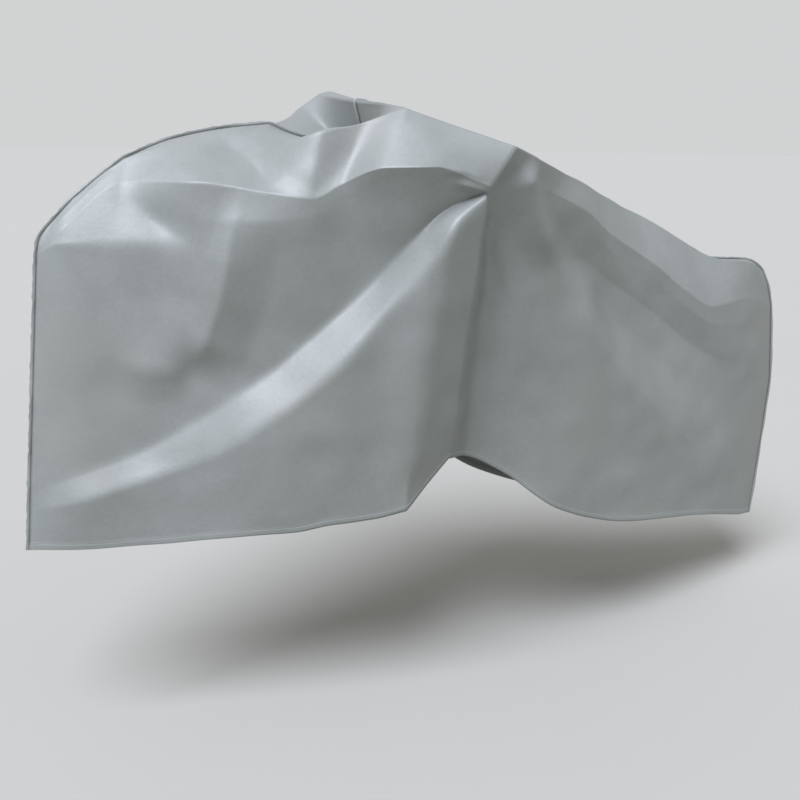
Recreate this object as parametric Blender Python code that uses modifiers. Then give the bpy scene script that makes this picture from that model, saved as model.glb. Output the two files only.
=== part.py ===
# A fitted cover of coated cloth: two cut panels joined by one bound seam that runs up
# the front, over the top and down the rear. It hangs from hangPoint, under its top.
import bpy
import bmesh
import numpy as np

# Sizes are in metres, and in the tables in millimetres. x runs from the front to the rear, z is the
# height above the floor, and out is the distance of the cloth from the middle plane, on either side.
partName = "bicycle_cover"
milli = 0.001
hangPoint = (0.330, 0.0, 1.126)     # just under the top; becomes the origin
clothThick = 0.0020
hemThick = 0.0034                   # the cloth is turned up and sewn here
hemTall = 0.010
hemRun = 0.30                       # the usual drop from crest to hem
seamGap = 0.0003
bindingTall = 0.0085
bindingThick = 0.003
bindingSeat = 0.0003                # clearance between the binding and the panels
bindingWaist = 0.3                  # its width at the foot, as a share of its thickness
bindingShoulder = 0.94              # where its rounded edge begins, as a share of its height
bindingCrisp = 0.6                  # edges of the tape sharper than this angle stay sharp
seamLift = 0.0005                   # keeps the cloth off the middle plane right up to the seam
seamEase = 0.05                     # folds fade out over this distance from the middle plane
overrun = 0.012                     # cloth past the middle plane, trimmed off at the seam
overrunShare = 0.1                  # how far it carries on along the cloth, as a share of a row
columnsPerBay = 3                   # mesh columns between two sections
rowsPerBand = (2, 3, 3, 3, 3, 3, 7) # mesh rows between two levels
creaseRound = 0.022                 # how far a bend across a level spreads, as a share of the drop
creaseTaps = ((-1.0, 0.12), (-0.5, 0.24), (0.0, 0.28), (0.5, 0.24), (1.0, 0.12))  # shift, weight
levelAt = (0.0, 0.10, 0.20, 0.30, 0.38, 0.55, 0.65, 1.0)
crispSection = 10                   # the pleat's edge, where the cloth turns sharply
bellyAt = (0.11, 0.34, 0.62)        # the right panel's next levels, between its brow and its hem
bellyShare = (0.32, 1.0, 0.7)       # how much of the belly each of them gets

# The seam, shared by both panels.
seamColumns = ("section", "x", "z")
seamRows = (
    ("front edge", -274, 914),
    ("front brow", -216, 973),
    ("front slope", -131, 1035),
    ("front top", -43, 1068),
    ("flat top", 55, 1086),
    ("dip start", 134, 1093),
    ("dip", 195, 1070),
    ("dip floor", 318, 1050),
    ("crown", 304, 1136),
    ("behind crown", 392, 1116),
    ("peak", 450, 1092),
    ("pleat", 490, 1076),
    ("fan start", 570, 1046),
    ("fan middle", 710, 994),
    ("fan end", 850, 943),
    ("rear shoulder", 978, 895),
    ("rear slope", 1092, 841),
    ("rear step", 1203, 797),
    ("rear flat", 1328, 786),
    ("rear edge", 1376, 762),
)

# Left panel: a row for each section, from its ridge near the seam down to its hem, as x, out, z.
leftColumns = ("section", "ridge", "brow", "chest", "trough", "crest", "hem")
leftRows = (
    ("front edge", (-287, 0, 856), (-291, 0, 832), (-294, 0, 808),
     (-321, 0, 475), (-324, 0, 440), (-330, 0, 370)),
    ("front brow", (-228, 12, 952), (-240, 25, 926), (-251, 40, 899),
     (-232, 40, 512), (-234, 50, 466), (-243, 36, 368)),
    ("front slope", (-137, 12, 1018), (-145, 27, 996), (-175, 80, 899),
     (-130, 60, 547), (-132, 84, 496), (-137, 68, 369)),
    ("front top", (-49, 62, 1033), (-54, 120, 1002), (-54, 116, 898),
     (-30, 84, 601), (-30, 118, 532), (-44, 100, 372)),
    ("flat top", (28, 76, 1038), (3, 142, 996), (-8, 142, 938),
     (30, 108, 641), (36, 156, 580), (36, 125, 373)),
    ("dip start", (70, 84, 1041), (66, 164, 984), (41, 162, 935),
     (100, 134, 692), (108, 188, 635), (110, 145, 374)),
    ("dip", (160, 172, 1083), (130, 190, 975), (135, 186, 944),
     (172, 161, 756), (180, 214, 702), (181, 163, 382)),
    ("dip floor", (230, 172, 1099), (182, 194, 997), (190, 193, 972),
     (246, 192, 829), (252, 238, 789), (250, 180, 386)),
    ("crown", (300, 200, 1124), (228, 267, 1028), (240, 261, 1009),
     (305, 232, 898), (315, 276, 867), (311, 198, 400)),
    ("behind crown", (372, 260, 1092), (306, 294, 1029), (314, 288, 1017),
     (358, 252, 950), (366, 291, 926), (367, 180, 437)),
    ("peak", (461, 300, 1061), (418, 289, 994), (416, 286, 990),
     (412, 280, 984), (409, 294, 962), (431, 150, 470)),
    ("pleat", (478, 288, 1054), (472, 256, 1003), (472, 246, 976),
     (474, 226, 930), (482, 196, 840), (508, 100, 450)),
    ("fan start", (564, 240, 1033), (540, 258, 990), (547, 250, 951),
     (560, 228, 860), (570, 202, 720), (580, 124, 410)),
    ("fan middle", (705, 160, 990), (680, 192, 945), (686, 188, 912),
     (700, 178, 840), (710, 190, 720), (700, 145, 322)),
    ("fan end", (845, 85, 944), (807, 142, 881), (812, 140, 848),
     (825, 135, 775), (840, 166, 610), (854, 135, 265)),
    ("rear shoulder", (960, 40, 906), (945, 106, 815), (951, 106, 780),
     (965, 106, 700), (985, 140, 490), (1000, 110, 236)),
    ("rear slope", (1080, 40, 850), (1048, 104, 748), (1060, 102, 708),
     (1085, 96, 620), (1115, 108, 390), (1142, 80, 211)),
    ("rear step", (1190, 40, 803), (1148, 92, 705), (1162, 89, 662),
     (1195, 80, 570), (1228, 74, 370), (1259, 50, 184)),
    ("rear flat", (1305, 30, 786), (1275, 56, 708), (1287, 54, 652),
     (1314, 46, 533), (1335, 36, 355), (1350, 22, 159)),
    ("rear edge", (1401, 0, 722), (1419, 0, 670), (1425, 0, 614),
     (1437, 0, 492), (1424, 0, 330), (1406, 0, 148)),
)

# Right panel: plainer, with a belly that fills out between its brow and its hem. Its two edges lie
# on the left panel's, so they have no row.
rightColumns = ("section", "ridge", "brow", "belly", "hem")
rightRows = (
    ("front brow", (-223, 30, 935), (-222, 48, 890), 4, (-243, 36, 368)),
    ("front slope", (-147, 60, 985), (-151, 85, 920), 6, (-137, 66, 366)),
    ("front top", (-50, 85, 1022), (-53, 125, 950), 4, (-44, 96, 366)),
    ("flat top", (36, 110, 1045), (20, 160, 975), 0, (36, 120, 368)),
    ("dip start", (125, 120, 1075), (88, 190, 1000), -10, (110, 142, 372)),
    ("dip", (256, 205, 1102), (205, 240, 1040), -16, (175, 160, 380)),
    ("dip floor", (300, 240, 1124), (255, 268, 1055), -20, (235, 176, 388)),
    ("crown", (352, 262, 1149), (305, 290, 1066), -22, (290, 190, 400)),
    ("behind crown", (384, 278, 1154), (350, 302, 1072), -26, (350, 176, 430)),
    ("peak", (440, 300, 1130), (405, 300, 1050), -20, (405, 150, 462)),
    ("pleat", (466, 286, 1112), (460, 262, 1040), -30, (490, 85, 440)),
    ("fan start", (550, 245, 1070), (520, 265, 1020), -10, (560, 118, 405)),
    ("fan middle", (700, 165, 1002), (665, 198, 950), 10, (690, 145, 325)),
    ("fan end", (845, 85, 948), (805, 145, 888), 18, (850, 135, 265)),
    ("rear shoulder", (960, 42, 906), (940, 105, 820), 22, (995, 110, 234)),
    ("rear slope", (1080, 40, 850), (1048, 100, 755), 16, (1140, 80, 210)),
    ("rear step", (1190, 40, 803), (1148, 88, 710), 12, (1259, 50, 184)),
    ("rear flat", (1305, 30, 786), (1275, 56, 712), 6, (1350, 22, 159)),
)

# The pit in front of the crown: where the cloth lies halfway from the seam to the ridge, on either
# panel. Elsewhere it runs straight.
pitColumns = ("section", "left", "right")
pitRows = (
    ("dip", (190, 60, 1066), (215, 90, 1064)),
    ("dip floor", (300, 70, 1060), (326, 130, 1062)),
    ("crown", (304, 100, 1132), (322, 120, 1142)),
)

# Folds laid over the sections, as seen from the side. The path runs through x, z points; rise is
# how far the fold stands out (a trough is negative), left and right are the widths of its flanks as
# one walks along the path, round is how round its crest is, and ends are the shares over which it
# fades in and out.
foldColumns = ("fold", "path", "rise", "left", "right", "round", "ends")
leftFolds = (
    ("valley behind the front facet", ((-146, 986), (-110, 945), (-46, 893)),
     -10, 45, 40, 2, (0.5, 0.5)),
    ("valley across the top", ((34, 1080), (66, 1036), (85, 998)),
     -9, 90, 50, 3, (0.0, 0.3)),
    ("ridge beside it", ((172, 1069), (150, 1035), (116, 996)),
     9, 40, 80, 3, (0.0, 0.3)),
    ("shoulder", ((28, 990), (12, 930), (2, 862), (-10, 800), (-30, 736), (-70, 676)),
     26, 100, 110, 5, (0.12, 0.25)),
    ("edge over the pocket", ((-240, 716), (-150, 694), (-60, 684)),
     11, 130, 55, 8, (0.5, 0.4)),
    ("streak", ((124, 976), (180, 1022), (285, 1112)),
     -9, 60, 36, 2, (0.1, 0.2)),
    ("first rear ridge", ((482, 1037), (562, 910), (633, 773), (697, 602), (734, 445)),
     8, 90, 70, 16, (0.15, 0.5)),
    ("second rear ridge", ((553, 1017), (753, 701), (918, 522), (1126, 308)),
     14, 110, 90, 20, (0.15, 0.4)),
    ("rear trough", ((565, 1014), (720, 890), (879, 767), (1210, 553)),
     -14, 60, 80, 10, (0.2, 0.3)),
)
rightFolds = (
    ("front swag", ((400, 960), (150, 800), (-180, 540)),
     18, 80, 110, 20, (0.2, 0.3)),
    ("rear swag", ((540, 960), (760, 760), (1080, 440)),
     14, 110, 110, 20, (0.2, 0.3)),
    ("middle trough", ((480, 940), (520, 760), (560, 560)),
     -12, 60, 60, 20, (0.2, 0.3)),
)


def makeMaterial(name, colour, roughness, metallic):
    material = bpy.data.materials.new(name)
    material.use_nodes = True
    shader = material.node_tree.nodes["Principled BSDF"]
    shader.inputs["Base Color"].default_value = (*colour, 1.0)
    shader.inputs["Roughness"].default_value = roughness
    shader.inputs["Metallic"].default_value = metallic
    material.diffuse_color = (*colour, 1.0)
    return material


def smoothShare(value):
    """Ease from 0 to 1."""
    value = np.clip(value, 0.0, 1.0)
    return value * value * (3 - 2 * value)


def glide(knots, values, at):
    """Read a smooth curve through values at the knots; it never overshoots them."""
    spans = np.diff(knots).reshape((-1,) + (1,) * (values.ndim - 1))
    slopes = np.diff(values, axis=0) / spans
    before, after = slopes[:-1], slopes[1:]
    total = np.where(np.abs(before + after) > 1e-12, before + after, 1.0)
    inner = np.where(before * after > 0, 2.0 * before * after / total, 0.0)
    tangents = np.concatenate([slopes[:1], inner, slopes[-1:]])
    bay = np.clip(np.searchsorted(knots, at, side="right") - 1, 0, len(knots) - 2)
    width = spans[bay]
    t = (at - knots[bay]).reshape(width.shape) / width
    return ((2 * t**3 - 3 * t**2 + 1) * values[bay] + (t**3 - 2 * t**2 + t) * width * tangents[bay]
            + (3 * t**2 - 2 * t**3) * values[bay + 1] + (t**3 - t**2) * width * tangents[bay + 1])


def alongSections(values, at):
    """Glide from section to section, with a break in slope at the crisp one."""
    front = at[at < crispSection]
    rear = at[at >= crispSection]
    return np.concatenate([
        glide(np.arange(crispSection + 1), values[:crispSection + 1], front),
        glide(np.arange(crispSection, len(values)), values[crispSection:], rear)])


def crease(values, at):
    """Straight runs between the levels, rounded off where they meet."""
    knots = np.array(levelAt)
    flat = values.reshape(len(knots), -1)
    total = np.zeros((len(at), flat.shape[1]))
    for shift, weight in creaseTaps:
        moved = at + shift * creaseRound
        bay = np.clip(np.searchsorted(knots, moved, side="right") - 1, 0, len(knots) - 2)
        t = ((moved - knots[bay]) / (knots[bay + 1] - knots[bay]))[:, None]
        total += weight * (flat[bay] * (1 - t) + flat[bay + 1] * t)
    return total.reshape((len(at),) + values.shape[1:])


def seamPoints():
    rows = [dict(zip(seamColumns, row)) for row in seamRows]
    return milli * np.array([(row["x"], 0.0, row["z"]) for row in rows])


def withPit(levels, side):
    """Add the level between the seam and the ridge."""
    middle = (levels[:, 0] + levels[:, 1]) / 2
    sections = [row[0] for row in seamRows]
    for row in pitRows:
        pit = dict(zip(pitColumns, row))
        middle[sections.index(pit["section"])] = milli * np.array(pit[side])
    return np.concatenate([levels[:, :1], middle[:, None], levels[:, 1:]], axis=1)


def leftLevels():
    """Corner points of every left section, level by level from the seam to the hem."""
    rows = [dict(zip(leftColumns, row)) for row in leftRows]
    below = milli * np.array([[row[level] for level in leftColumns[1:]] for row in rows])
    return withPit(np.concatenate([seamPoints()[:, None], below], axis=1), "left")


def rightLevels():
    """The same for the right panel, where the levels under the brow come from the belly."""
    rows = [dict(zip(rightColumns, row)) for row in rightRows]
    ridge, brow, hem = (milli * np.array([row[level] for row in rows]) for level in ("ridge", "brow", "hem"))
    swell = milli * np.array([(0.0, row["belly"], 0.0) for row in rows])
    middle = [brow + (hem - brow) * place + swell * share for place, share in zip(bellyAt, bellyShare)]
    inside = np.stack([seamPoints()[1:-1], ridge, brow, *middle, hem], axis=1)
    edges = np.delete(leftLevels(), 1, axis=1)
    return withPit(np.concatenate([edges[:1], inside, edges[-1:]]), "right")


def foldHeight(x, z, folds):
    """Sum of the folds' heights at points given in side view."""
    total = np.zeros_like(x)
    for row in folds:
        fold = dict(zip(foldColumns, row))
        path = milli * np.array(fold["path"])
        steps = np.diff(path, axis=0)
        lengths = np.linalg.norm(steps, axis=1)
        begun = np.concatenate([[0.0], np.cumsum(lengths)])
        nearest = np.full_like(x, 1e9)
        side = np.zeros_like(x)
        run = np.zeros_like(x)
        for (ax, az), (dx, dz), length, start in zip(path, steps, lengths, begun):
            along = np.clip(((x - ax) * dx + (z - az) * dz) / length**2, 0.0, 1.0)
            offX = x - ax - along * dx
            offZ = z - az - along * dz
            distance = np.hypot(offX, offZ)
            closer = distance < nearest
            nearest = np.where(closer, distance, nearest)
            side = np.where(closer, dx * offZ - dz * offX, side)
            run = np.where(closer, (start + along * length) / begun[-1], run)
        width = milli * np.where(side > 0, fold["left"], fold["right"])
        blunt = milli * fold["round"]
        off = np.hypot(nearest, blunt) - blunt
        fadeIn, fadeOut = fold["ends"]
        fade = smoothShare(run / max(fadeIn, milli)) * smoothShare((1.0 - run) / max(fadeOut, milli))
        total += milli * fold["rise"] * np.clip(1.0 - off / width, 0.0, 1.0)**2 * fade
    return total


def drape(levels, folds, alongAt, downAt):
    """Cloth surface as a grid of points: alongAt counts sections, downAt runs from seam to hem."""
    sections = alongSections(levels, alongAt)
    surface = np.swapaxes(crease(np.swapaxes(sections, 0, 1), downAt), 0, 1)
    along = np.gradient(surface, alongAt, axis=0)
    down = np.gradient(surface, downAt, axis=1)
    normal = np.cross(along, down)
    normal /= np.linalg.norm(normal, axis=2, keepdims=True) + 1e-12
    normal *= np.sign(normal[:, :, 1].sum())
    free = smoothShare(surface[:, :, 1] / seamEase)
    height = foldHeight(surface[:, :, 0], surface[:, :, 2], folds)
    return surface + normal * (height * free)[:, :, None]


def spreadRows():
    """Rows down a section, with one more at the top of the hem."""
    rows = [0.0]
    for top, bottom, count in zip(levelAt, levelAt[1:], rowsPerBand):
        rows += [top + (bottom - top) * (k + 1) / count for k in range(count)]
    hemRow = 1.0 - hemTall * (1.0 - levelAt[-2]) / hemRun
    return np.array(rows[:-1] + [hemRow, 1.0])


def panelObject(name, levels, folds, side, material, collection):
    """One panel: the draped sheet, its wall, and the trim at the middle plane."""
    alongAt = np.linspace(0, len(levels) - 1, (len(levels) - 1) * columnsPerBay + 1)
    grid = drape(levels, folds, alongAt, spreadRows())
    past = np.array([0.0, -overrun, 0.0])
    grid[:, :, 1] += seamLift
    first = grid[:1] + (grid[:1] - grid[1:2]) * overrunShare + past
    last = grid[-1:] + (grid[-1:] - grid[-2:-1]) * overrunShare + past
    grid = np.concatenate([first, grid, last])
    over = grid[:, :1] + (grid[:, :1] - grid[:, 1:2]) * overrunShare
    over[1:-1] += past
    grid = np.concatenate([over, grid], axis=1)
    grid[:, :, 1] *= side
    grid -= np.array(hangPoint)
    columns, rows = grid.shape[:2]
    mesh = bpy.data.meshes.new(name)
    quads = [(c * rows + r, c * rows + r + 1, (c + 1) * rows + r + 1, (c + 1) * rows + r)
             for c in range(columns - 1) for r in range(rows - 1)]
    if side > 0:
        quads = [quad[::-1] for quad in quads]
    mesh.from_pydata(grid.reshape(-1, 3).tolist(), [], quads)
    panel = bpy.data.objects.new(name, mesh)
    collection.objects.link(panel)
    mesh.materials.append(material)
    hem = panel.vertex_groups.new(name="hem")
    hem.add([c * rows + r for c in range(columns) for r in (rows - 2, rows - 1)], 1.0, "REPLACE")
    wall = panel.modifiers.new("wall", "SOLIDIFY")
    wall.thickness = hemThick
    wall.offset = -1.0
    wall.use_even_offset = True
    wall.vertex_group = "hem"
    wall.thickness_vertex_group = clothThick / hemThick
    trimAtSeam(panel, side)
    mesh.shade_smooth()


def trimAtSeam(panel, side):
    """Cut the walled panel flat, half the seam gap from the middle plane."""
    depsgraph = bpy.context.evaluated_depsgraph_get()
    walled = bpy.data.meshes.new_from_object(panel.evaluated_get(depsgraph))
    work = bmesh.new()
    work.from_mesh(walled)
    bpy.data.meshes.remove(walled)
    everything = work.verts[:] + work.edges[:] + work.faces[:]
    bmesh.ops.bisect_plane(work, geom=everything, dist=1e-6, plane_co=(0, side * seamGap / 2, 0),
                           plane_no=(0, -side, 0), clear_outer=True)
    rim = [edge for edge in work.edges if edge.is_boundary]
    bmesh.ops.holes_fill(work, edges=rim, sides=0)
    bmesh.ops.triangulate(work, faces=[face for face in work.faces if len(face.verts) > 4])
    bmesh.ops.recalc_face_normals(work, faces=work.faces)
    panel.modifiers.clear()
    work.to_mesh(panel.data)
    work.free()


def bindingObject(material, collection):
    """The bound seam: a flat fin along the front edge, the top and the rear edge."""
    levels = leftLevels()
    alongAt = np.linspace(0, len(levels) - 1, (len(levels) - 1) * columnsPerBay + 1)
    downAt = spreadRows()
    sections = alongSections(levels, alongAt)
    front = crease(levels[0], downAt)[::-1]
    rear = crease(levels[-1], downAt)
    path = np.concatenate([front, sections[1:-1, 0], rear])
    tangent = np.gradient(path, axis=0)
    tangent /= np.linalg.norm(tangent, axis=1, keepdims=True)
    outward = np.stack([-tangent[:, 2], np.zeros(len(path)), tangent[:, 0]], axis=1)
    across = np.array((0.0, 1.0, 0.0))
    half = bindingThick / 2
    shoulder = bindingTall * bindingShoulder
    foot = bindingWaist * half
    profile = ((-foot, 0.0), (-half, half), (-half, shoulder), (0.0, bindingTall),
               (half, shoulder), (half, half), (foot, 0.0))
    work = bmesh.new()
    rings = []
    for point, way in zip(path - np.array(hangPoint), outward):
        ring = [work.verts.new(point + across * wide + way * (bindingSeat + up)) for wide, up in profile]
        rings.append(ring)
    for a, b in zip(rings, rings[1:]):
        for k in range(len(profile)):
            following = (k + 1) % len(profile)
            work.faces.new((a[k], a[following], b[following], b[k]))
    work.faces.new(rings[0][::-1])
    work.faces.new(rings[-1])
    bmesh.ops.recalc_face_normals(work, faces=work.faces)
    mesh = bpy.data.meshes.new("seam_binding")
    work.to_mesh(mesh)
    work.free()
    mesh.materials.append(material)
    mesh.shade_smooth()
    mesh.set_sharp_from_angle(angle=bindingCrisp)
    binding = bpy.data.objects.new("seam_binding", mesh)
    collection.objects.link(binding)


def main():
    for thing in list(bpy.data.objects):
        bpy.data.objects.remove(thing, do_unlink=True)
    collection = bpy.data.collections.new(partName)
    bpy.context.scene.collection.children.link(collection)
    cloth = makeMaterial("coated cloth", (0.36, 0.39, 0.40), 0.48, 0.0)
    tape = makeMaterial("binding tape", (0.30, 0.33, 0.33), 0.52, 0.0)
    panelObject("panel_left", leftLevels(), leftFolds, -1, cloth, collection)
    panelObject("panel_right", rightLevels(), rightFolds, 1, cloth, collection)
    bindingObject(tape, collection)


main()
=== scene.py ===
import math
import bpy
import bmesh
import numpy as np
from mathutils import Matrix, Vector


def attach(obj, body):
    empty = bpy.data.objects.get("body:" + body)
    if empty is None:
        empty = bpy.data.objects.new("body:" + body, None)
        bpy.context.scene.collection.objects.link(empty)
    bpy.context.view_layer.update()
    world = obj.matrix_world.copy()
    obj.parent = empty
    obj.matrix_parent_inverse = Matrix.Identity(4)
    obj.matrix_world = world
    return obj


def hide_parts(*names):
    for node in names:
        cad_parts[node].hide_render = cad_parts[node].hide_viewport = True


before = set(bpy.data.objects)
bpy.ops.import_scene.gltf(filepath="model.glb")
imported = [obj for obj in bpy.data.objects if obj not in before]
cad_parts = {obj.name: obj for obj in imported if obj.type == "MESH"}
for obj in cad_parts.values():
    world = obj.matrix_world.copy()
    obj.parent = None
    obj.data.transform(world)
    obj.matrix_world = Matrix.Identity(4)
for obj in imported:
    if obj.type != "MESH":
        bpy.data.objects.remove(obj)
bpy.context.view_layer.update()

milli = 0.001  # for the tables in millimetres
tiny = 1e-12   # keeps a division safe

# Sizes are in metres. The tables below give x from the front to the rear, z as the height above
# the floor and out as the distance of the cloth from the middle plane, on either side.
cover = {
    "hangPoint": (0.330, 0.0, 1.126),  # the origin of the frame
    "clothThick": 0.0013,
    "seamClear": 0.0004,               # keeps each panel on its own side of the middle plane
    "columnsPerBay": 13,               # mesh columns between two sections
    "rowStep": 0.0066,                 # mesh rows, as a share of the way down
    "closeRowsAt": (0.20, 0.30, 0.38, 0.55),  # levels with more rows around them
    "closeRows": 13,                   # mesh rows added around each of them
    "rowsApart": 0.0009,               # no two rows lie closer than this
    "levelAt": (0.0, 0.10, 0.20, 0.30, 0.38, 0.55, 0.65, 1.0),
    # how far the bend at each level spreads
    "roundAt": (0.015, 0.012, 0.006, 0.006, 0.014, 0.018, 0.034, 0.015),
    "bendSteps": 11,                   # how finely a bend is rounded off
    "bendTaper": 0.92,                 # at 1, the rounding fades to nothing at its two ends
    "foldsFullAt": 0.05,               # folds fade out nearer to the middle plane than this
    "crispSections": ("peak",),        # where the cloth turns sharply from seam to hem
    # sections that turn sharply over a part of the way down: names, from, to, how softly it sets in
    "crispParts": (
        (("dip start",), -1.0, 0.26, 0.08),
        (("crown",), -1.0, 0.215, 0.035),
        (("front brow", "front slope", "dip start", "crown"), -1.0, 0.03, 0.03),
        (("crown",), 0.95, 2.0, 0.05),
    ),
    "crispSeam": ("front brow", "front slope", "dip start", "crown"),  # where the seam turns sharply
}
hemTurn = {
    "tall": 0.0125,
    "outward": 0.0007,                 # how far the doubled cloth stands out on each side
    "inward": 0.0012,
    "ease": 0.0022,                    # how softly its upper edge sets in
    "rows": 9,                         # mesh rows in it
    "rowsFrom": 1.35,                  # they start at this many times its height
    "sharePerMetre": 2.0,              # what a metre of cloth takes of the way down
    "stitchUp": 0.0098,                # height of the stitch row over the edge
    "stitchSink": 0.0006,              # how deep the thread pulls the cloth in
    "stitchSpread": 0.0012,
    "threadLift": 0.0001,
    "endColumns": 2,                   # the stitches stop this many mesh columns short
}

# The seam, shared by both panels.
seamColumns = ("section", "x", "z")
seamRows = (
    ("front edge", -0.274, 0.914),
    ("front brow", -0.216, 0.973),
    ("front slope", -0.131, 1.035),
    ("front top", -0.043, 1.068),
    ("flat top", 0.055, 1.086),
    ("dip start", 0.134, 1.093),
    ("dip", 0.195, 1.070),
    ("dip floor", 0.328, 1.050),
    ("crown", 0.304, 1.136),
    ("behind crown", 0.392, 1.116),
    ("peak", 0.450, 1.092),
    ("pleat", 0.490, 1.076),
    ("fan start", 0.570, 1.046),
    ("fan middle", 0.710, 0.994),
    ("fan end", 0.850, 0.943),
    ("rear shoulder", 0.978, 0.895),
    ("rear slope", 1.092, 0.841),
    ("rear step", 1.203, 0.797),
    ("rear flat", 1.328, 0.786),
    ("rear edge", 1.376, 0.762),
)

# Left panel: a row for each section, from its ridge near the seam down to its hem, in millimetres
# as x, out, z.
leftColumns = ("section", "ridge", "brow", "chest", "trough", "crest", "hem")
leftRows = (
    ("front edge", (-278, 0, 902), (-280, 0, 892), (-282, 0, 881),
     (-321, 0, 475), (-324, 0, 440), (-330, 0, 370)),
    ("front brow", (-228, 12, 952), (-240, 25, 926), (-250, 31, 899),
     (-232, 40, 512), (-234, 56, 466), (-243, 36, 368)),
    ("front slope", (-137, 12, 1018), (-145, 27, 996), (-174, 65, 899),
     (-130, 60, 547), (-132, 84, 496), (-137, 68, 369)),
    ("front top", (-49, 62, 1033), (-46, 122, 1002), (-37, 113, 897),
     (-32, 91, 603), (-30, 118, 532), (-44, 100, 372)),
    ("flat top", (28, 76, 1038), (3, 140, 996), (-5, 133, 937),
     (26, 118, 644), (36, 156, 580), (36, 125, 373)),
    ("dip start", (70, 84, 1041), (64, 168, 985), (41, 160, 935),
     (100, 134, 692), (108, 188, 635), (110, 145, 374)),
    ("dip", (160, 172, 1083), (127, 197, 976), (132, 193, 945),
     (172, 161, 756), (180, 214, 702), (181, 163, 382)),
    ("dip floor", (230, 172, 1099), (178, 203, 998), (186, 201, 973),
     (246, 192, 829), (252, 238, 789), (254, 173, 383)),
    ("crown", (300, 200, 1124), (228, 267, 1028), (240, 261, 1009),
     (297, 232, 900), (315, 276, 867), (317, 187, 395)),
    ("behind crown", (384, 240, 1092), (306, 294, 1029), (314, 288, 1017),
     (347, 254, 952), (353, 296, 936), (374, 168, 432)),
    ("peak", (472, 284, 1060), (418, 289, 994), (416, 286, 990),
     (412, 280, 984), (408, 292, 975), (431, 150, 470)),
    ("pleat", (494, 270, 1054), (472, 256, 1003), (472, 246, 976),
     (476, 224, 930), (494, 188, 840), (508, 100, 450)),
    ("fan start", (564, 240, 1031), (554, 238, 988), (562, 229, 948),
     (570, 208, 858), (576, 186, 718), (580, 124, 410)),
    ("fan middle", (705, 160, 990), (680, 192, 945), (687, 186, 912),
     (705, 171, 839), (715, 184, 719), (700, 145, 322)),
    ("fan end", (845, 85, 944), (807, 142, 881), (812, 140, 848),
     (833, 126, 774), (850, 154, 606), (854, 135, 265)),
    ("rear shoulder", (960, 40, 906), (945, 106, 815), (955, 102, 780),
     (979, 90, 696), (1004, 120, 483), (1000, 110, 236)),
    ("rear slope", (1080, 40, 850), (1048, 104, 748), (1062, 100, 708),
     (1100, 80, 615), (1136, 88, 383), (1142, 80, 211)),
    ("rear step", (1190, 40, 803), (1148, 92, 705), (1162, 89, 662),
     (1205, 70, 567), (1241, 61, 365), (1259, 50, 184)),
    ("rear flat", (1305, 30, 786), (1275, 56, 708), (1287, 54, 652),
     (1320, 40, 531), (1341, 30, 352), (1350, 22, 159)),
    ("rear edge", (1401, 0, 722), (1419, 0, 670), (1425, 0, 614),
     (1437, 0, 492), (1424, 0, 330), (1406, 0, 148)),
)

# The pit in front of the crown: where the cloth lies halfway from the seam to the ridge, in
# millimetres. Elsewhere it runs straight.
pitColumns = ("section", "left", "right")
pitRows = (
    ("dip", (190, 60, 1066), (215, 90, 1064)),
    ("dip floor", (308, 70, 1060), (332, 130, 1062)),
    ("crown", (304, 100, 1132), (322, 120, 1142)),
)

# Right panel: plainer, with a belly that fills out between its brow and its hem. Its two edges lie
# on the left panel's, so they have no row.
rightColumns = ("ridge", "brow", "belly", "hem")
rightRows = (
    ((-0.223, 0.030, 0.935), (-0.222, 0.048, 0.890), 0.004, (-0.243, 0.036, 0.368)),
    ((-0.147, 0.060, 0.985), (-0.151, 0.085, 0.920), 0.006, (-0.137, 0.066, 0.366)),
    ((-0.050, 0.085, 1.022), (-0.053, 0.125, 0.950), 0.004, (-0.044, 0.096, 0.366)),
    ((0.036, 0.110, 1.045), (0.020, 0.160, 0.975), 0.000, (0.036, 0.120, 0.368)),
    ((0.125, 0.120, 1.075), (0.088, 0.190, 1.000), -0.010, (0.110, 0.142, 0.372)),
    ((0.256, 0.205, 1.102), (0.205, 0.240, 1.040), -0.016, (0.175, 0.160, 0.380)),
    ((0.300, 0.240, 1.124), (0.255, 0.268, 1.055), -0.020, (0.235, 0.176, 0.388)),
    ((0.352, 0.262, 1.149), (0.305, 0.290, 1.066), -0.022, (0.290, 0.190, 0.400)),
    ((0.384, 0.278, 1.154), (0.350, 0.302, 1.072), -0.026, (0.350, 0.176, 0.430)),
    ((0.440, 0.300, 1.130), (0.405, 0.300, 1.050), -0.020, (0.405, 0.150, 0.462)),
    ((0.466, 0.286, 1.112), (0.460, 0.262, 1.040), -0.030, (0.490, 0.085, 0.440)),
    ((0.550, 0.245, 1.070), (0.520, 0.265, 1.020), -0.010, (0.560, 0.118, 0.405)),
    ((0.700, 0.165, 1.002), (0.665, 0.198, 0.950), 0.010, (0.690, 0.145, 0.325)),
    ((0.845, 0.085, 0.948), (0.805, 0.145, 0.888), 0.018, (0.850, 0.135, 0.265)),
    ((0.960, 0.042, 0.906), (0.940, 0.105, 0.820), 0.022, (0.995, 0.110, 0.234)),
    ((1.080, 0.040, 0.850), (1.048, 0.100, 0.755), 0.016, (1.140, 0.080, 0.210)),
    ((1.190, 0.040, 0.803), (1.148, 0.088, 0.710), 0.012, (1.259, 0.050, 0.184)),
    ((1.305, 0.030, 0.786), (1.275, 0.056, 0.712), 0.006, (1.350, 0.022, 0.159)),
)
# where the belly sits between brow and hem
bellyRule = {"chestAt": 0.32, "upperAt": 0.34, "lowerAt": 0.62, "lowerShare": 0.7}

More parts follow.
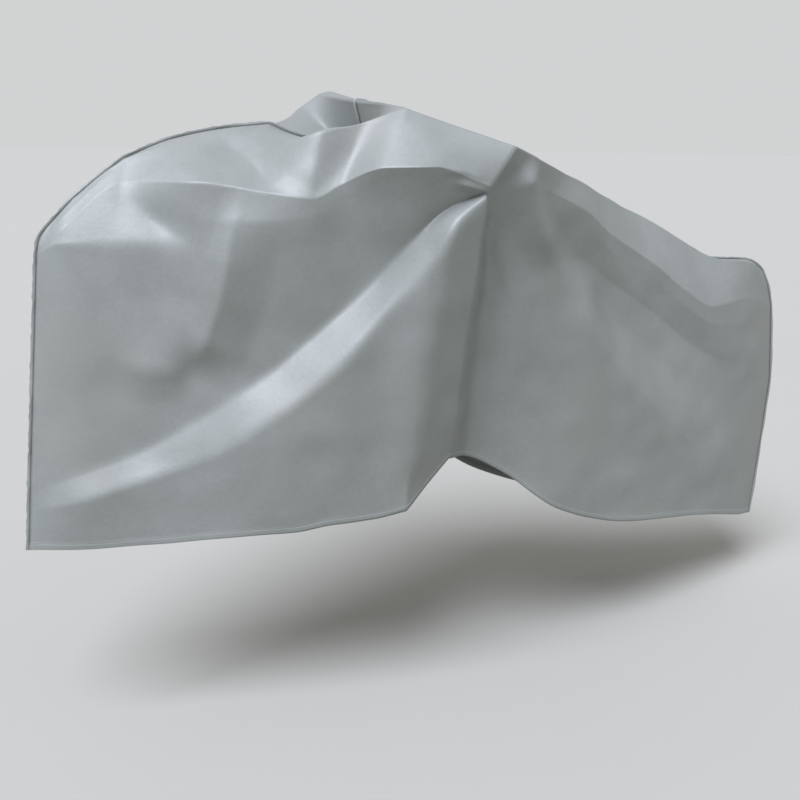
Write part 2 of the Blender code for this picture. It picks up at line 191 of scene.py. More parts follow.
# Folds laid over the sections, as seen from the side. The path runs through x, z points; rise is
# how far the crest stands out (a trough is negative), left and right are the widths of its two
# flanks as one walks along the path, and crest is how round its top is. ends fades it in and out.
foldColumns = ("path", "rise", "left", "right", "crest", "ends")
leftFolds = (
    # valley behind the bright facet
    (((-0.146, 0.986), (-0.110, 0.945), (-0.046, 0.893)),
     -0.010, 0.045, 0.040, 0.002, (0.5, 0.5)),
    # valley across the top, and the ridge beside it
    (((0.034, 1.080), (0.066, 1.036), (0.085, 0.998)),
     -0.007, 0.090, 0.050, 0.003, (0.0, 0.3)),
    (((0.172, 1.069), (0.150, 1.035), (0.116, 0.996)),
     0.002, 0.040, 0.080, 0.003, (0.0, 0.3)),
    # shoulder
    (((0.034, 1.016), (0.026, 0.990), (0.012, 0.930), (0.002, 0.862), (-0.010, 0.800),
      (-0.030, 0.736), (-0.070, 0.676)),
     0.025, 0.075, 0.110, 0.003, (0.42, 0.22)),
    # edge over the front pocket
    (((-0.190, 0.704), (-0.120, 0.688), (-0.050, 0.680)),
     0.013, 0.120, 0.065, 0.003, (0.6, 0.3)),
    # streak to the high corner
    (((0.124, 0.976), (0.180, 1.022), (0.285, 1.112)),
     -0.002, 0.040, 0.036, 0.002, (0.10, 0.45)),
    # short ridge behind the pleat
    (((0.497, 1.031), (0.520, 1.001), (0.538, 0.966), (0.572, 0.910), (0.618, 0.848),
      (0.655, 0.760)),
     0.021, 0.038, 0.048, 0.006, (0.12, 0.55)),
    # long swell down the rear panel, and the valley above it
    (((0.553, 1.017), (0.753, 0.701), (0.918, 0.522), (1.126, 0.308)),
     0.009, 0.150, 0.090, 0.020, (0.15, 0.4)),
    (((0.530, 1.030), (0.568, 0.964), (0.636, 0.905), (0.692, 0.844), (0.845, 0.707),
      (1.116, 0.496)),
     -0.016, 0.075, 0.180, 0.008, (0.25, 0.3)),
    # pinch at the high corner, and the crease above it
    (((0.337, 1.005), (0.378, 0.999), (0.412, 0.990)),
     0.0055, 0.010, 0.014, 0.002, (0.5, 0.10)),
    (((0.317, 1.020), (0.362, 1.021), (0.402, 1.004)),
     0.0040, 0.020, 0.010, 0.001, (0.4, 0.15)),
)
rightFolds = (
    # from the high corner down to the front, to the rear, and straight down
    (((0.395, 1.010), (0.250, 0.880), (0.060, 0.740), (-0.190, 0.560)),
     0.019, 0.050, 0.130, 0.005, (0.22, 0.35)),
    (((0.480, 1.000), (0.640, 0.850), (0.860, 0.640), (1.120, 0.380)),
     0.015, 0.120, 0.060, 0.006, (0.25, 0.4)),
    (((0.470, 1.010), (0.520, 0.800), (0.600, 0.560)),
     0.012, 0.050, 0.080, 0.008, (0.3, 0.5)),
    # shoulder
    (((0.040, 0.950), (0.006, 0.850), (-0.052, 0.700)),
     0.014, 0.060, 0.090, 0.004, (0.35, 0.3)),
    # shallow valleys at the front and at the rear
    (((-0.150, 0.900), (-0.060, 0.845), (0.100, 0.830)),
     -0.006, 0.050, 0.040, 0.004, (0.4, 0.5)),
    (((0.800, 0.870), (0.960, 0.740), (1.200, 0.640)),
     -0.007, 0.050, 0.060, 0.004, (0.3, 0.4)),
)
foldFlank = 1.5  # above 1, a fold's flanks run out in a hollow curve
softWaves = {
    "height": 0.0006,
    "longest": 0.34,
    "shortest": 0.075,
    "fallOff": 0.8,                    # how fast short waves lose height
    "count": 22,
    "seed": 7,
}


def named(columns, rows):
    return [dict(zip(columns, row)) for row in rows]


def glide(knots, values, at):
    # a smooth curve through values at the knots, which never overshoots them
    spans = np.diff(knots).reshape((-1,) + (1,) * (values.ndim - 1))
    slopes = np.diff(values, axis=0) / spans
    before, after = slopes[:-1], slopes[1:]
    total = np.where(np.abs(before + after) > tiny, before + after, 1.0)
    inner = np.where(before * after > 0, 2.0 * before * after / total, 0.0)
    tangents = np.concatenate([slopes[:1], inner, slopes[-1:]])
    bay = np.clip(np.searchsorted(knots, at, side="right") - 1, 0, len(knots) - 2)
    width = spans[bay]
    t = (at - knots[bay]).reshape(width.shape) / width
    return ((2 * t**3 - 3 * t**2 + 1) * values[bay] + (t**3 - 2 * t**2 + t) * width * tangents[bay]
            + (3 * t**2 - 2 * t**3) * values[bay + 1] + (t**3 - t**2) * width * tangents[bay + 1])


def crease(knots, values, at, roundness):
    # straight runs between the knots, rounded off where they meet
    knots = np.asarray(knots)
    flat = values.reshape(len(knots), -1)
    total = np.zeros((len(at), flat.shape[1]))
    shifts = np.linspace(-1, 1, cover["bendSteps"])
    weights = 1 + np.cos(math.pi * shifts * cover["bendTaper"])
    for shift, weight in zip(shifts, weights / weights.sum()):
        moved = at + shift * roundness
        bay = np.clip(np.searchsorted(knots, moved, side="right") - 1, 0, len(knots) - 2)
        t = ((moved - knots[bay]) / (knots[bay + 1] - knots[bay]))[:, None]
        total += weight * (flat[bay] * (1 - t) + flat[bay + 1] * t)
    return total.reshape((len(at),) + values.shape[1:])


def acrossLevels(values, at):
    # crease at the cover's own levels, each with its own roundness
    return crease(cover["levelAt"], values, at, np.interp(at, cover["levelAt"], cover["roundAt"]))


def sectionNumber(name):
    return [row["section"] for row in named(seamColumns, seamRows)].index(name)


def alongSections(levels, at, more=()):
    # smooth from section to section, but broken at the crisp ones
    crisp = sorted(sectionNumber(name) for name in cover["crispSections"] + more)
    stops = [0, *crisp, len(levels) - 1]
    parts = []
    for first, last in zip(stops, stops[1:]):
        inside = at[(at >= first) & ((at < last) | (last == stops[-1]))]
        parts.append(glide(np.arange(first, last + 1), levels[first:last + 1], inside))
    return np.concatenate(parts)


def seamPoints():
    return np.array([(row["x"], 0.0, row["z"]) for row in named(seamColumns, seamRows)])


def withPit(levels, side):
    # adds the level between the seam and the ridge
    middle = (levels[:, 0] + levels[:, 1]) / 2
    for row in named(pitColumns, pitRows):
        middle[sectionNumber(row["section"])] = np.array(row[side]) * milli
    return np.concatenate([levels[:, :1], middle[:, None], levels[:, 1:]], axis=1)


def leftLevels():
    rows = named(leftColumns, leftRows)
    below = np.array([[row[level] for level in leftColumns[1:]] for row in rows]) * milli
    return withPit(np.concatenate([seamPoints()[:, None], below], axis=1), "left")


def rightLevels():
    sections = []
    for seam, row in zip(seamPoints()[1:-1], named(rightColumns, rightRows)):
        ridge, brow, hem = (np.array(row[level]) for level in ("ridge", "brow", "hem"))
        swell = np.array((0.0, row["belly"], 0.0))
        upper = brow + (hem - brow) * bellyRule["upperAt"] + swell
        lower = brow + (hem - brow) * bellyRule["lowerAt"] + swell * bellyRule["lowerShare"]
        chest = brow + (upper - brow) * bellyRule["chestAt"]
        sections.append((seam, ridge, brow, chest, upper, lower, hem))
    edges = np.delete(leftLevels(), 1, axis=1)
    return withPit(np.concatenate([edges[:1], np.array(sections), edges[-1:]]), "right")


def smoothRise(value):
    value = np.clip(value, 0.0, 1.0)
    return value * value * (3 - 2 * value)


def foldHeight(x, z, folds):
    total = np.zeros_like(x)
    for fold in named(foldColumns, folds):
        path = np.array(fold["path"], float)
        steps = np.diff(path, axis=0)
        lengths = np.linalg.norm(steps, axis=1)
        begun = np.concatenate([[0.0], np.cumsum(lengths)])
        nearest = np.full_like(x, np.inf)
        side = np.zeros_like(x)
        run = np.zeros_like(x)
        for (ax, az), (dx, dz), length, start in zip(path, steps, lengths, begun):
            along = np.clip(((x - ax) * dx + (z - az) * dz) / length**2, 0.0, 1.0)
            offX, offZ = x - ax - along * dx, z - az - along * dz
            distance = np.hypot(offX, offZ)
            closer = distance < nearest
            nearest = np.where(closer, distance, nearest)
            side = np.where(closer, dx * offZ - dz * offX, side)
            run = np.where(closer, (start + along * length) / begun[-1], run)
        width = np.where(side > 0, fold["left"], fold["right"])
        off = np.hypot(nearest, fold["crest"]) - fold["crest"]
        shape = np.clip(1.0 - off / width, 0.0, 1.0) ** foldFlank
        fadeIn, fadeOut = fold["ends"]
        fade = smoothRise(run / fadeIn) if fadeIn > 0 else 1.0
        fade = fade * (smoothRise((1.0 - run) / fadeOut) if fadeOut > 0 else 1.0)
        total += fold["rise"] * shape * fade
    return total


def waveHeight(x, z, waves):
    # crossing waves, long ones higher than short ones
    dice = np.random.default_rng(waves["seed"])
    total = np.zeros_like(x)
    for k in range(waves["count"]):
        step = k / (waves["count"] - 1)
        length = waves["longest"] * (waves["shortest"] / waves["longest"]) ** step
        angle = dice.uniform(0, math.pi)
        phase = dice.uniform(0, 2 * math.pi)
        reach = 2 * math.pi / length
        share = (length / waves["longest"]) ** waves["fallOff"]
        total += share * np.sin(reach * (x * math.cos(angle) + z * math.sin(angle)) + phase)
    return total * waves["height"]


def surfaceNormals(grid):
    normal = np.cross(np.gradient(grid, axis=0), np.gradient(grid, axis=1))
    normal /= np.linalg.norm(normal, axis=2, keepdims=True) + tiny
    return normal * np.sign(normal[:, :, 1].sum())


def spreadRows():
    # rows down a section, closer together at the sharp levels and in the turned hem
    step = cover["rowStep"]
    hemTop = 1.0 - hemTurn["rowsFrom"] * hemTurn["tall"] * hemTurn["sharePerMetre"]
    even = np.arange(0.0, hemTop, step)
    around = step * np.linspace(-2, 2, cover["closeRows"])
    closer = [level + around for level in cover["closeRowsAt"]]
    rows = np.unique(np.concatenate([even, *closer, np.linspace(hemTop, 1.0, hemTurn["rows"])]))
    apart = np.concatenate([[True], np.diff(rows) > cover["rowsApart"]])
    return rows[apart]


def drapeGrid(levels, folds):
    # the cloth's outer face as a grid of points: sections along it, and rows from seam to hem
    bays = len(levels) - 1
    alongAt = np.linspace(0, bays, bays * cover["columnsPerBay"] + 1)
    rows = spreadRows()
    surface = alongSections(levels, alongAt)
    surface = acrossLevels(np.swapaxes(surface, 0, 1), rows)
    for sections, begin, end, ease in cover["crispParts"]:
        sharp = alongSections(levels, alongAt, sections)
        sharp = acrossLevels(np.swapaxes(sharp, 0, 1), rows)
        share = smoothRise((rows - begin) / ease + 0.5) * smoothRise((end - rows) / ease + 0.5)
        surface += (sharp - surface) * share[:, None, None]
    surface = np.swapaxes(surface, 0, 1)
    normal = surfaceNormals(surface)
    x, out, z = surface[:, :, 0], surface[:, :, 1], surface[:, :, 2]
    free = smoothRise(out / cover["foldsFullAt"])
    height = foldHeight(x, z, folds) + waveHeight(x, z, softWaves)
    surface = surface + normal * (height * free)[:, :, None]
    surface[:, :, 1] = np.maximum(surface[:, :, 1], cover["seamClear"])
    return surface


def intoScene(name, data):
    piece = bpy.data.objects.new(name, data)
    bpy.context.scene.collection.objects.link(piece)
    return piece


def panelPiece(name, levels, folds, side):
    grid = drapeGrid(levels, folds)
    normal = surfaceNormals(grid)
    steps = np.linalg.norm(np.diff(grid, axis=1), axis=2)
    down = np.concatenate([np.zeros((len(grid), 1)), np.cumsum(steps, axis=1)], axis=1)
    toEdge = down[:, -1:] - down
    turned = smoothRise((hemTurn["tall"] - toEdge) / hemTurn["ease"] + 0.5)
    besideStitch = (toEdge - hemTurn["stitchUp"]) / hemTurn["stitchSpread"]
    sunk = np.exp(-besideStitch ** 2) * hemTurn["stitchSink"]
    outer = grid + normal * (turned * hemTurn["outward"] - sunk)[:, :, None]
    depth = cover["clothThick"] + turned * hemTurn["inward"] - sunk
    inner = grid - normal * depth[:, :, None]
    outer[:, :, 1] = np.maximum(outer[:, :, 1], cover["seamClear"])
    inner[:, :, 1] = np.maximum(inner[:, :, 1], cover["seamClear"] * 0.5)
    columns, rows = grid.shape[:2]
    count = columns * rows
    points = np.concatenate([outer.reshape(-1, 3), inner.reshape(-1, 3)])
    points[:, 1] *= side
    points -= np.array(cover["hangPoint"])
    index = np.arange(count).reshape(columns, rows)
    first = index[:-1, :-1].ravel()
    quads = np.stack([first, first + 1, first + rows + 1, first + rows], axis=1)
    backQuads = quads[:, ::-1] + count
    ring = np.concatenate([index[0], index[1:, -1], index[-1, -2::-1], index[-2:0:-1, 0]]).tolist()
    rim = [(a, a + count, b + count, b) for a, b in zip(ring, ring[1:] + ring[:1])]
    faces = quads.tolist() + backQuads.tolist() + rim
    if side > 0:
        faces = [face[::-1] for face in faces]
    mesh = bpy.data.meshes.new(name)
    mesh.from_pydata(points.tolist(), [], faces)
    slots = [0] * len(quads) + [1] * len(backQuads) + [0] * len(rim)  # cloth, its back, cloth
    mesh.polygons.foreach_set("material_index", slots)
    mesh.shade_smooth()
    # a UV map in metres of cloth, for the weave
    along = np.linalg.norm(np.diff(grid, axis=0), axis=2).mean(axis=1)
    acrossAt = np.repeat(np.concatenate([[0.0], np.cumsum(along)])[:, None], rows, axis=1)
    flat = np.stack([acrossAt, down], axis=2).reshape(-1, 2)
    flat = np.concatenate([flat, flat])
    layer = mesh.uv_layers.new(name="clothMetres")
    corners = np.empty(len(mesh.loops), int)
    mesh.loops.foreach_get("vertex_index", corners)
    layer.data.foreach_set("uv", flat[corners].astype(np.float32).ravel())
    return intoScene(name, mesh), outer, normal


# Binding: a folded tape sewn over both raw edges, which stands up along the seam.
binding = {
    "step": 0.006,
    "pointsPerBay": 12,
    "edgePoints": 120,                 # down the front edge, and down the rear edge
    "smoothings": 2,
    "wander": 0.00216,                 # how far its free edge leans from side to side
    "wanderEvery": (0.31, 0.173, 0.083),
    "leanBend": 1.5,                   # above 1, it leans more towards its free edge
    "pucker": 0.0010,
    "puckerEvery": (0.041, 0.023, 0.0171),
    "puckerAside": 0.6,
    "profile": (                       # half width, height
        (0.0008, 0.0000), (0.0014, 0.0010), (0.0015, 0.0028),
        (0.0014, 0.0041), (0.0010, 0.0049), (0.0005, 0.0052)),
    "sharpFrom": 0.9,                  # edges turned by more than this, in radians, stay sharp
    "stitchUp": 0.0028,
    "stitchOut": 0.0013,
    "seed": 11,
}


def seamPath():
    levels = leftLevels()
    bays = len(levels) - 1
    alongAt = np.linspace(0, bays, bays * binding["pointsPerBay"] + 1)
    sections = alongSections(levels[:, 0], alongAt, cover["crispSeam"])
    downAt = np.linspace(0, 1, binding["edgePoints"])
    front = acrossLevels(levels[0], downAt)[::-1]
    rear = acrossLevels(levels[-1], downAt)
    rough = np.concatenate([front, sections[1:-1], rear])
    lengths = np.linalg.norm(np.diff(rough, axis=0), axis=1)
    run = np.concatenate([[0.0], np.cumsum(lengths)])
    count = int(run[-1] / binding["step"]) + 1
    at = np.linspace(0, run[-1], count)
    path = np.stack([np.interp(at, run, rough[:, k]) for k in range(3)], axis=1)
    for _ in range(binding["smoothings"]):
        path[1:-1] = 0.25 * path[:-2] + 0.5 * path[1:-1] + 0.25 * path[2:]
    return path, at


def seamOutward(path):
    # away from the cloth, square to the seam in its own plane
    tangent = np.gradient(path, axis=0)
    tangent /= np.linalg.norm(tangent, axis=1, keepdims=True)
    across = np.array((0.0, 1.0, 0.0))
    outward = np.cross(tangent, np.broadcast_to(across, tangent.shape))
    outward *= np.sign(outward[:, 2].sum())
    return outward


def unevenRun(at, lengths, seed):
    # goes from side to side in a few uneven lengths
    dice = np.random.default_rng(seed)
    fullTurn = 6.28
    total = np.zeros_like(at)
    for length in lengths:
        total += np.sin(2 * math.pi * at / length + dice.uniform(0, fullTurn)) / len(lengths)
    return total


def bindingPiece():
    path, at = seamPath()
    outward = seamOutward(path)
    lean = binding["wander"] * unevenRun(at, binding["wanderEvery"], binding["seed"])
    pucker = binding["pucker"] * unevenRun(at, binding["puckerEvery"], binding["seed"] + 1)
    half = binding["profile"]
    tall = half[-1][1]
    outline = [(w, h) for w, h in half] + [(-w, h) for w, h in reversed(half)]
    rings = []
    for width, height in outline:
        share = height / tall
        across = width + lean * share ** binding["leanBend"] + pucker * share * binding["puckerAside"]
        up = height + pucker * share
        ring = path + outward * up[:, None]
        ring[:, 1] += across
        rings.append(ring)
    points = np.stack(rings, axis=1)
    sides = len(outline)
    points = points.reshape(-1, 3) - np.array(cover["hangPoint"])
    faces = []
    for k in range(len(path) - 1):
        here, ahead = k * sides, (k + 1) * sides
        for s in range(sides):
            following = (s + 1) % sides
            faces.append((here + s, here + following, ahead + following, ahead + s))
    faces.append(tuple(range(sides))[::-1])
    faces.append(tuple((len(path) - 1) * sides + s for s in range(sides)))
    mesh = bpy.data.meshes.new("seamBinding")
    mesh.from_pydata(points.tolist(), [], faces)
    work = bmesh.new()
    work.from_mesh(mesh)
    bmesh.ops.recalc_face_normals(work, faces=work.faces)
    work.to_mesh(mesh)
    work.free()
    mesh.shade_smooth()
    mesh.set_sharp_from_angle(angle=binding["sharpFrom"])
    stitchLines = []
    stitchLean = lean * (binding["stitchUp"] / tall) ** binding["leanBend"]
    for side in (-1, 1):
        line = path + outward * binding["stitchUp"]
        line[:, 1] += side * binding["stitchOut"] + stitchLean
        stitchLines.append(line - np.array(cover["hangPoint"]))
    return intoScene("seamBinding", mesh), stitchLines


class Wire:  # one output in a material's node tree, with arithmetic
    def __init__(self, maker, socket):
        self.maker = maker
        self.socket = socket

    def calc(self, operation, *values):
        node = self.maker.tree.nodes.new("ShaderNodeMath")
        node.operation = operation
        for place, value in zip(node.inputs, values):
            self.maker.join(value, place)
        return Wire(self.maker, node.outputs[0])

    def __add__(self, other):
        return self.calc("ADD", self, other)

    def __radd__(self, other):
        return self.calc("ADD", other, self)

    def __mul__(self, other):
        return self.calc("MULTIPLY", self, other)

    def __rmul__(self, other):
        return self.calc("MULTIPLY", other, self)


class Finish:  # a material and the way its nodes are added
    def __init__(self, name):
        self.material = bpy.data.materials.new(name)
        self.material.use_nodes = True
        self.tree = self.material.node_tree
        self.tree.nodes.clear()

    def join(self, value, place):
        if isinstance(value, Wire):
            self.tree.links.new(value.socket, place)
        else:
            place.default_value = value

    def add(self, kind, settings=None, sockets=None, output=0):
        node = self.tree.nodes.new(kind)
        for name, value in (settings or {}).items():
            setattr(node, name, value)
        for name, value in (sockets or {}).items():
            self.join(value, node.inputs[name])
        return Wire(self, node.outputs[output])

    def noise(self, place, scale, detail=2.0, roughness=0.5):
        return self.add("ShaderNodeTexNoise", {}, {
            "Vector": place, "Scale": scale, "Detail": detail, "Roughness": roughness})

    def spread(self, value, low, high, toLow=0.0, toHigh=1.0):
        return self.add("ShaderNodeMapRange", {"interpolation_type": "SMOOTHSTEP"}, {
            "Value": value, "From Min": low, "From Max": high, "To Min": toLow, "To Max": toHigh})

    def blend(self, first, second, share):
        return self.add("ShaderNodeMix", {"data_type": "RGBA"}, {0: share, 6: first, 7: second}, 2)

    def finish(self, shader):
        output = self.tree.nodes.new("ShaderNodeOutputMaterial")
        self.tree.links.new(shader.socket, output.inputs["Surface"])
        return self.material


# Coated cloth: mottled grey with a dull sheen, a fine weave and small dents.
clothLook = {
    "light": (0.233, 0.252, 0.238),
    "dark": (0.212, 0.229, 0.216),
    "warm": (0.228, 0.236, 0.214),
    "broad": (3.2, 3.0, 0.55),         # noises: scale, detail, roughness
    "cloudy": (14.0, 4.0, 0.6),
    "fine": (130.0, 3.0, 0.6),
    "grit": (420.0, 2.0, 0.55),
    "crumpleScale": 34.0,
    "roughness": (0.48, 0.56),
    "metallic": 0.18,
    "threadPitch": 0.0011,
    "crinkle": 0.0005,                 # heights of the bumps
    "pebble": 0.00028,
    "weave": 0.00003,
}


def clothFinish(name, tone=1.0, dull=0.0):
    finish = Finish(name)
    place = finish.add("ShaderNodeTexCoord", output=3)  # object coordinates
    flat = finish.add("ShaderNodeUVMap", {"uv_map": "clothMetres"})
    broad, cloudy, fine, grit = (finish.noise(place, *clothLook[name])
                                 for name in ("broad", "cloudy", "fine", "grit"))
    light, dark, warm = (tuple(c * tone for c in clothLook[name]) + (1.0,)
                         for name in ("light", "dark", "warm"))
    mottle = finish.spread(cloudy * 0.45 + fine * 0.3 + grit * 0.25, 0.38, 0.62)
    ground = finish.blend(dark, light, mottle)
    colour = finish.blend(ground, warm, finish.spread(broad, 0.45, 0.70, 0.0, 0.55))
    low, high = clothLook["roughness"]
    rough = finish.spread(cloudy * 0.5 + broad * 0.5, 0.35, 0.65, low + dull, high + dull)
    acrossCloth = finish.add("ShaderNodeSeparateXYZ", {}, {"Vector": flat})
    downCloth = Wire(finish, acrossCloth.socket.node.outputs[1])
    turn = 2 * math.pi / clothLook["threadPitch"]
    weave = acrossCloth.calc("SINE", acrossCloth * turn) * acrossCloth.calc("SINE", downCloth * turn)
    crumple = finish.add("ShaderNodeTexVoronoi", {"feature": "SMOOTH_F1"}, {
        "Vector": place, "Scale": clothLook["crumpleScale"], "Smoothness": 0.6})
    height = (cloudy * clothLook["crinkle"] + fine * clothLook["pebble"]
              + grit * (clothLook["pebble"] * 0.35) + crumple * (clothLook["crinkle"] * 0.35)
              + weave * clothLook["weave"])
    bump = finish.add("ShaderNodeBump", {}, {"Height": height, "Strength": 1.0, "Distance": 1.0})
    shader = finish.add("ShaderNodeBsdfPrincipled", {}, {
        "Base Color": colour, "Roughness": rough, "Metallic": clothLook["metallic"], "Normal": bump,
        "Specular IOR Level": 0.5})
    return finish.finish(shader)


# Stitches: one tree lays thread along the lines of a mesh, and serves the binding and both hems.
stitch = {
    "pitch": 0.0040,
    "long": 0.0029,
    "thick": 0.0007,
    "tilt": 0.10,                      # how far a stitch may turn from its row, in radians
    "seed": 3,
    "dark": (0.34, 0.36, 0.36, 1.0),
    "light": (0.50, 0.52, 0.52, 1.0),
    "roughness": 0.62,
    "fuzz": 0.0001,
}


def threadFinish():
    finish = Finish("greyThread")
    place = finish.add("ShaderNodeTexCoord", output=3)
    fuzz = finish.noise(place, 900.0, 2.0)
    colour = finish.blend(stitch["dark"], stitch["light"], finish.spread(fuzz, 0.35, 0.65))
    bump = finish.add("ShaderNodeBump", {}, {
        "Height": fuzz * stitch["fuzz"], "Strength": 1.0, "Distance": 1.0})
    shader = finish.add("ShaderNodeBsdfPrincipled", {}, {
        "Base Color": colour, "Roughness": stitch["roughness"], "Normal": bump})
    return finish.finish(shader)


def stitchTree(material):
    tree = bpy.data.node_groups.new("stitchRow", "GeometryNodeTree")
    tree.interface.new_socket("Geometry", in_out="INPUT", socket_type="NodeSocketGeometry")
    sizes = {}
    for name, kind in (("Pitch", "NodeSocketFloat"), ("Stitch Length", "NodeSocketFloat"),
                       ("Thread Width", "NodeSocketFloat"), ("Tilt", "NodeSocketFloat"),
                       ("Seed", "NodeSocketInt")):
        sizes[name] = tree.interface.new_socket(name, in_out="INPUT", socket_type=kind).identifier
    tree.interface.new_socket("Geometry", in_out="OUTPUT", socket_type="NodeSocketGeometry")

    def add(kind, settings=None, **links):
        node = tree.nodes.new(kind)
        for name, value in (settings or {}).items():
            setattr(node, name, value)
        for name, value in links.items():
            if isinstance(value, bpy.types.NodeSocket):
                tree.links.new(value, node.inputs[name])
            else:
                node.inputs[name].default_value = value
        return node

    given = add("NodeGroupInput").outputs
    curve = add("GeometryNodeMeshToCurve", Mesh=given["Geometry"])
    points = add("GeometryNodeCurveToPoints", {"mode": "LENGTH"},
                 Curve=curve.outputs["Curve"], Length=given["Pitch"])
    ball = add("GeometryNodeMeshUVSphere", Segments=6, Rings=4, Radius=0.5)
    size = add("ShaderNodeCombineXYZ",
               X=given["Thread Width"], Y=given["Thread Width"], Z=given["Stitch Length"])
    thread = add("GeometryNodeTransform", Geometry=ball.outputs["Mesh"], Scale=size.outputs["Vector"])
    placed = add("GeometryNodeInstanceOnPoints", Points=points.outputs["Points"],
                 Instance=thread.outputs["Geometry"], Rotation=points.outputs["Rotation"])
    lowTilt = add("ShaderNodeMath", {"operation": "MULTIPLY"})
    tree.links.new(given["Tilt"], lowTilt.inputs[0])
    lowTilt.inputs[1].default_value = -1.0
    dice = add("FunctionNodeRandomValue", {"data_type": "FLOAT_VECTOR"}, Seed=given["Seed"])
    tree.links.new(lowTilt.outputs[0], dice.inputs["Min"])
    tree.links.new(given["Tilt"], dice.inputs["Max"])
    turned = add("GeometryNodeRotateInstances",
                 Instances=placed.outputs["Instances"], Rotation=dice.outputs["Value"])
    real = add("GeometryNodeRealizeInstances", Geometry=turned.outputs["Instances"])
    dressed = add("GeometryNodeSetMaterial", Geometry=real.outputs["Geometry"], Material=material)
    result = add("NodeGroupOutput")
    tree.links.new(dressed.outputs["Geometry"], result.inputs["Geometry"])
    return tree, sizes


def stitchPiece(name, lines, tree, sizes, material):
    points, edges = [], []
    for line in lines:
        start = len(points)
        points += [tuple(point) for point in line]
        edges += [(start + k, start + k + 1) for k in range(len(line) - 1)]
    guide = bpy.data.meshes.new(name + "Line")
    guide.from_pydata(points, edges, [])
    holder = intoScene(name + "Line", guide)
    sew = holder.modifiers.new("sew", "NODES")
    sew.node_group = tree
    for size, key in (("Pitch", "pitch"), ("Stitch Length", "long"), ("Thread Width", "thick"),
                      ("Tilt", "tilt"), ("Seed", "seed")):
        sew[sizes[size]] = stitch[key]
    depsgraph = bpy.context.evaluated_depsgraph_get()
    mesh = bpy.data.meshes.new_from_object(holder.evaluated_get(depsgraph))
    bpy.data.objects.remove(holder, do_unlink=True)
    mesh.name = name
    mesh.materials.clear()
    mesh.materials.append(material)
    mesh.shade_smooth()
    return intoScene(name, mesh)


def hemLine(outer, normal, side):
    steps = np.linalg.norm(np.diff(outer, axis=1), axis=2)
    upwards = np.cumsum(steps[:, ::-1], axis=1)[:, ::-1]
    toEdge = np.concatenate([upwards, np.zeros((len(outer), 1))], axis=1)
    line = []
    for column in range(hemTurn["endColumns"], len(outer) - hemTurn["endColumns"]):
        away = toEdge[column][::-1]
        point = [np.interp(hemTurn["stitchUp"], away, outer[column, ::-1, k]) for k in range(3)]
        line.append(np.array(point) + normal[column, -1] * hemTurn["threadLift"])
    line = np.array(line)
    line[:, 1] *= side
    return line - np.array(cover["hangPoint"])


def makeCover():
    cloth = clothFinish("coatedCloth")
    clothBack = clothFinish("clothBack", tone=0.86, dull=0.16)
    tape = clothFinish("bindingTape", tone=0.98, dull=0.02)
    thread = threadFinish()
    panels, hems = [], []
    for name, levels, folds, side in (("panelLeft", leftLevels(), leftFolds, -1),
                                      ("panelRight", rightLevels(), rightFolds, 1)):
        piece, outer, normal = panelPiece(name, levels, folds, side)
        piece.data.materials.append(cloth)
        piece.data.materials.append(clothBack)
        panels.append(piece)
        hems.append(hemLine(outer, normal, side))
    print("panels made:", [len(piece.data.polygons) for piece in panels])
    fin, seamLines = bindingPiece()
    fin.data.materials.append(tape)
    tree, sizes = stitchTree(thread)
    seamStitches, leftStitches, rightStitches = (
        stitchPiece(name, lines, tree, sizes, thread)
        for name, lines in (("seamStitches", seamLines), ("leftHemStitches", hems[:1]),
                            ("rightHemStitches", hems[1:])))
    trims = (fin, seamStitches, leftStitches, rightStitches)
    print("binding and stitches made:", [len(piece.data.polygons) for piece in trims])
    for piece in (*panels, *trims):
        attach(piece, "root")
    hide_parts("panel_left")
    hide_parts("panel_right")
    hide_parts("seam_binding")


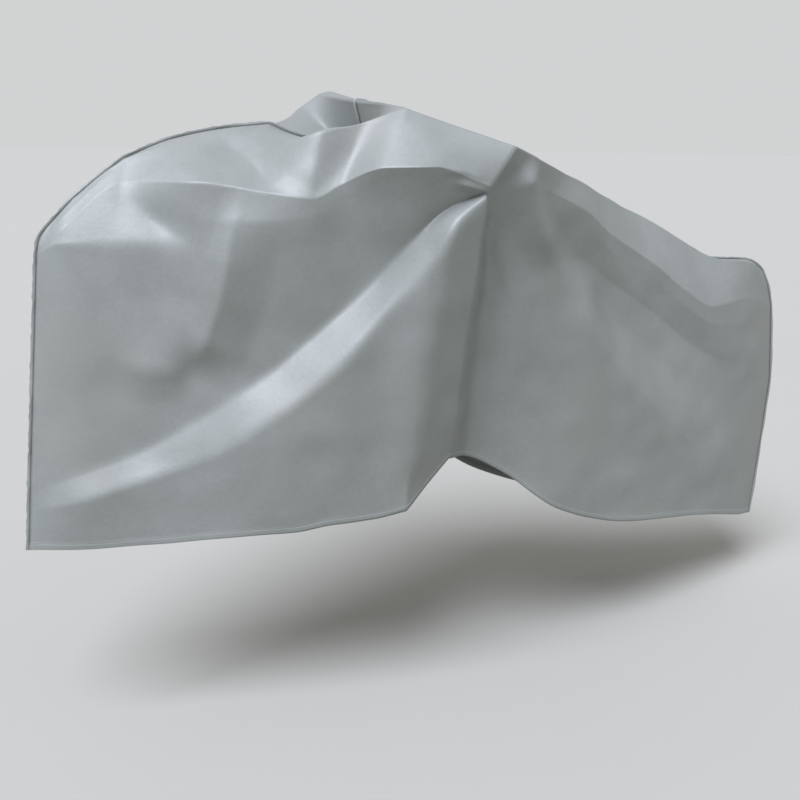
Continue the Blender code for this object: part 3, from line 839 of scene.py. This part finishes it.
# Studio: a pale floor, an even sky and one wide soft lamp. The camera's turns are in radians.
studio = {
    "floorTone": (0.337, 0.336, 0.306),
    "floorReach": 30,
    "floorCorners": 64,
    "skyTone": (0.64, 0.65, 0.655),
    "skyStrength": 1.0,
    "lampWay": (-0.44, -0.36, 0.82),   # the way to the lamp
    "lampStrength": 5.0,
    "lampSpread": 34.0,                # in degrees
    "lampTone": (0.955, 0.965, 1.12),
    "lens": 50.49,
    "sensor": 36.0,
    "cameraAt": (-0.9729, -1.9117, -0.0052),
    "turn": 0.50135,
    "tilt": -0.25404,
    "roll": 0.00979,
}


def studioFinish():
    finish = Finish("paleFloor")
    place = finish.add("ShaderNodeTexCoord", output=3)
    grain = finish.noise(place, 1.5, 2.0)
    tone = studio["floorTone"]
    colour = finish.blend((*tone, 1.0), (*(c * 0.97 for c in tone), 1.0), grain)
    shader = finish.add("ShaderNodeBsdfPrincipled", {}, {"Base Color": colour, "Roughness": 0.85})
    return finish.finish(shader)


def makeStudio():
    reach, corners, level = studio["floorReach"], studio["floorCorners"], -cover["hangPoint"][2]
    angles = [2 * math.pi * k / corners for k in range(corners)]
    ring = [(reach * math.cos(angle), reach * math.sin(angle), level) for angle in angles]
    floor = bpy.data.meshes.new("studioFloor")
    floor.from_pydata(ring, [], [tuple(range(corners))])
    floor.materials.append(studioFinish())
    intoScene("studioFloor", floor)
    lamp = bpy.data.lights.new("key", "SUN")
    lamp.energy = studio["lampStrength"]
    lamp.angle = math.radians(studio["lampSpread"])
    lamp.color = studio["lampTone"]
    lampPiece = intoScene("key", lamp)
    lampPiece.rotation_euler = Vector(studio["lampWay"]).to_track_quat("Z", "Y").to_euler()
    world = bpy.data.worlds.new("studioSky")
    world.use_nodes = True
    sky = world.node_tree.nodes["Background"]
    sky.inputs["Color"].default_value = (*studio["skyTone"], 1.0)
    sky.inputs["Strength"].default_value = studio["skyStrength"]
    bpy.context.scene.world = world
    lens = bpy.data.cameras.new("photoCamera")
    lens.lens = studio["lens"]
    lens.sensor_width = studio["sensor"]
    camera = intoScene("photoCamera", lens)
    facing = (Matrix.Rotation(-studio["turn"], 4, "Z")
              @ Matrix.Rotation(math.pi / 2 + studio["tilt"], 4, "X")
              @ Matrix.Rotation(studio["roll"], 4, "Z"))
    camera.matrix_world = Matrix.Translation(studio["cameraAt"]) @ facing
    bpy.context.scene.camera = camera
    bpy.context.scene.view_settings.view_transform = "Standard"
    print("studio made")


makeCover()
makeStudio()
